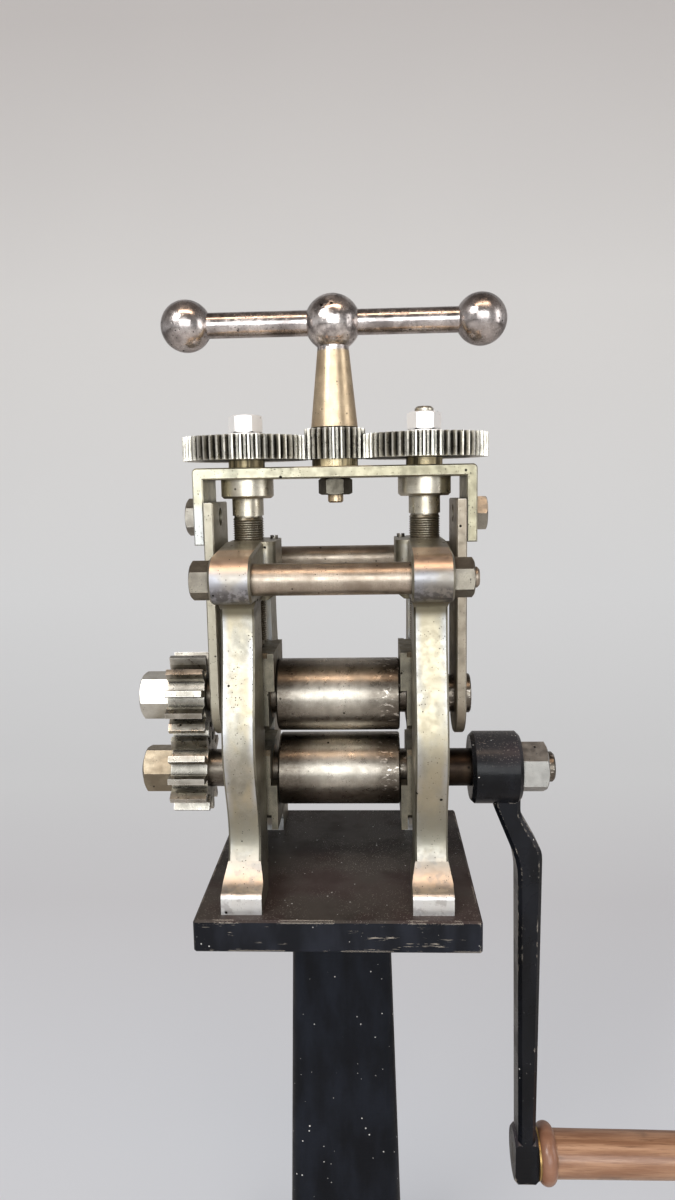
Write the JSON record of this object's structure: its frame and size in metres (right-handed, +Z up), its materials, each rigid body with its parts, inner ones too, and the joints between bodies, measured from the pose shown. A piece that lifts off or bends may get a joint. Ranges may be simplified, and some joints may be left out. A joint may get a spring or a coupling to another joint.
{
  "type": "rolling_mill_jewellers_hand_cranked",
  "caption": "Hand cranked jewellers rolling mill: two steel rolls in plated side frames, geared pressure screws under a T-handle, black crank with wooden grip, on a black pedestal.",
  "frame": {"origin": "centre of the pedestal's underside, where it stands on the floor or bench", "axes": "+Z up along the pedestal. +X along the rolls, towards the crank. +Y through the rolls, away from the side where metal is fed in."},
  "size_m": [0.3947, 0.19, 0.7637],
  "materials": {
    "pedestal_paint": "thick wooden boards under worn black paint, with pale chips along the edges",
    "frame_plating": "old plated casting, olive gold, bright where it was handled, small black pits",
    "rod_steel": "turned bar, brownish with a pale streak and fine pits",
    "nut_steel": "old steel, greyish gold and scuffed on the corners",
    "bright_nut": "bright zinc plated steel",
    "bolt_steel": "dull dark steel",
    "chock_iron": "machined iron, dark and oily",
    "bush_bronze": "bearing bronze, dull gold",
    "screw_steel": "turned and plated steel, gold tint, dark oil in the thread",
    "gear_steel": "milled teeth, bright crests and black oil in the gaps",
    "roll_gear_steel": "coarse teeth, bright worn crests and dark roots",
    "column_steel": "satin turned steel with a gold tint",
    "polished_steel": "polished steel with fine dark pits",
    "roll_steel": "hardened ground steel, dark brown grey with pale scuffs",
    "crank_paint": "black gloss paint over a forging, chipped to pale primer, rubbed bright at the bend",
    "washer_brass": "plain brass",
    "grip_wood": "varnished turned wood, worn pale along the barrel, red brown at the bead"
  },
  "bodies": {
    "stand": {"foot_board": "pedestal_paint", "pedestal_post": "pedestal_paint", "base_board": "pedestal_paint", "foot_screws": "bolt_steel", "frame_bolts": "bolt_steel", "frame_bolt_washers": "bolt_steel", "left_side_frame": "frame_plating", "right_side_frame": "frame_plating", "front_tie_rod": "rod_steel", "rear_tie_rod": "rod_steel", "tie_rod_nuts": "nut_steel", "oil_hole_plugs": "bolt_steel", "lower_left_chock": "chock_iron", "lower_right_chock": "chock_iron", "lower_roll_bushes": "bush_bronze"},
    "bridge_body": {"bridge": "frame_plating", "left_lift_strap": "frame_plating", "right_lift_strap": "frame_plating", "strap_bolts": "nut_steel", "upper_left_chock": "chock_iron", "upper_right_chock": "chock_iron", "upper_roll_bushes": "bush_bronze"},
    "left_screw": {"left_pressure_screw": "screw_steel", "left_screw_gear": "gear_steel", "left_screw_key": "bolt_steel", "left_top_washer": "bright_nut", "left_top_nut": "bright_nut"},
    "right_screw": {"right_pressure_screw": "screw_steel", "right_screw_gear": "gear_steel", "right_screw_key": "bolt_steel", "right_top_washer": "bright_nut", "right_top_nut": "bright_nut"},
    "t_handle": {"handle_column": "column_steel", "handle_pinion": "gear_steel", "pinion_pin": "bolt_steel", "handle_bar": "polished_steel", "left_handle_ball": "polished_steel", "right_handle_ball": "polished_steel", "handle_nut": "nut_steel"},
    "lower_roll_body": {"lower_roll": "roll_steel", "lower_roll_gear": "roll_gear_steel", "lower_gear_key": "bolt_steel", "lower_gear_nut": "nut_steel", "crank_spacer": "roll_steel", "crank_arm": "crank_paint", "crank_key": "bolt_steel", "crank_nut": "nut_steel", "grip_spindle": "bolt_steel", "grip_washer": "washer_brass"},
    "upper_roll_body": {"upper_roll": "roll_steel", "upper_roll_gear": "roll_gear_steel", "upper_gear_key": "bolt_steel", "upper_gear_nut": "nut_steel", "upper_roll_cap": "chock_iron"},
    "grip": {"crank_grip": "grip_wood"}
  },
  "joints": [
    {"name": "bridge_lift", "type": "slide", "parent": "stand", "child": "bridge_body", "axis": [0, 0, 1], "range_m": [-0.00306, 0.0038]},
    {"name": "t_handle_turn", "type": "hinge", "parent": "bridge_body", "child": "t_handle", "pos_m": [0, 0, 0.656], "axis": [0, 0, 1], "range_deg": [-1974, 1584]},
    {"name": "left_screw_turn", "type": "hinge", "parent": "bridge_body", "child": "left_screw", "pos_m": [-0.0574, 0, 0.656], "axis": [0, 0, 1], "range_deg": [-731, 911]},
    {"name": "right_screw_turn", "type": "hinge", "parent": "bridge_body", "child": "right_screw", "pos_m": [0.0574, 0, 0.656], "axis": [0, 0, 1], "range_deg": [-731, 911]},
    {"name": "lower_roll_turn", "type": "hinge", "parent": "stand", "child": "lower_roll_body", "pos_m": [0, 0, 0.4545], "axis": [1, 0, 0], "continuous": true},
    {"name": "upper_roll_turn", "type": "hinge", "parent": "bridge_body", "child": "upper_roll_body", "pos_m": [0, 0, 0.5057], "axis": [1, 0, 0], "continuous": true},
    {"name": "grip_turn", "type": "hinge", "parent": "lower_roll_body", "child": "grip", "pos_m": [0.198, 0, 0.1665], "axis": [1, 0, 0], "continuous": true}
  ],
  "couplings": [
    {"joint": "left_screw_turn", "follows": "t_handle_turn", "ratio": -0.46154},
    {"joint": "right_screw_turn", "follows": "t_handle_turn", "ratio": -0.46154},
    {"joint": "bridge_lift", "follows": "t_handle_turn", "m_per_rad": -0.00011018},
    {"joint": "upper_roll_turn", "follows": "lower_roll_turn", "ratio": -1}
  ]
}
